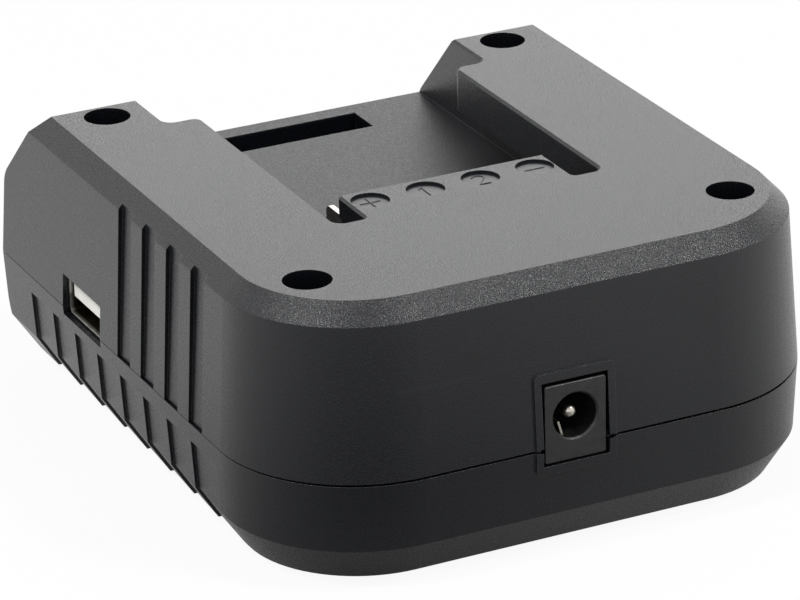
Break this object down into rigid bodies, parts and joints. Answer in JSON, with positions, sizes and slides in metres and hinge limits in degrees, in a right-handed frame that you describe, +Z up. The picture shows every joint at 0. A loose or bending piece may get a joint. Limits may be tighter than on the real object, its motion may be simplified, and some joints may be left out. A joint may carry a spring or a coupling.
{
  "type": "power tool battery charger",
  "caption": "Slide-in battery charger: moulded two-part housing with an undercut bay and blade terminals, a barrel jack in front, a USB-A socket in the side and rubber feet.",
  "frame": {"origin": "level with the feet's lower faces, under the middle of the outline", "axes": "+Z up, +Y the way the battery leaves the bay, -Y the side with the barrel jack, -X the side with the USB socket"},
  "size_m": [0.0844, 0.0988, 0.0403],
  "materials": {
    "housing_plastic": "fine spark-eroded grain",
    "screw_steel": "zinc plated",
    "foot_rubber": "matt",
    "board_laminate": "green solder mask",
    "jack_plastic": "satin",
    "contact_metal": "nickel plated",
    "shell_metal": "tin plated",
    "socket_plastic": "satin white",
    "gold_contact": "gold flashed",
    "carrier_plastic": "satin",
    "capacitor_sleeve": "shrunk sleeve",
    "ferrite": "sintered",
    "winding_wire": "enamelled copper",
    "sink_metal": "extruded",
    "component_plastic": "moulded epoxy",
    "fuse_plastic": "moulded"
  },
  "bodies": {
    "root": {"upper_housing": "housing_plastic", "lower_housing": "housing_plastic", "housing_screws": "screw_steel", "rubber_feet": "foot_rubber", "circuit_board": "board_laminate", "board_screws": "screw_steel", "dc_jack_body": "jack_plastic", "dc_jack_pin": "contact_metal", "dc_jack_spring": "contact_metal", "dc_jack_lugs": "contact_metal", "usb_shell": "shell_metal", "usb_insulator": "socket_plastic", "usb_contacts": "gold_contact", "terminal_carrier": "carrier_plastic", "positive_blade": "contact_metal", "charge_blade": "contact_metal", "sense_blade": "contact_metal", "negative_blade": "contact_metal", "input_capacitor": "capacitor_sleeve", "output_capacitor": "capacitor_sleeve", "inductor_core": "ferrite", "inductor_winding": "winding_wire", "heat_sink": "sink_metal", "power_transistor": "component_plastic", "transistor_screw": "screw_steel", "rectifier_diode": "component_plastic", "input_fuse": "fuse_plastic", "controller_chip": "component_plastic", "chip_leads": "shell_metal", "usb_converter": "component_plastic", "usb_inductor": "ferrite"}
  },
  "joints": []
}
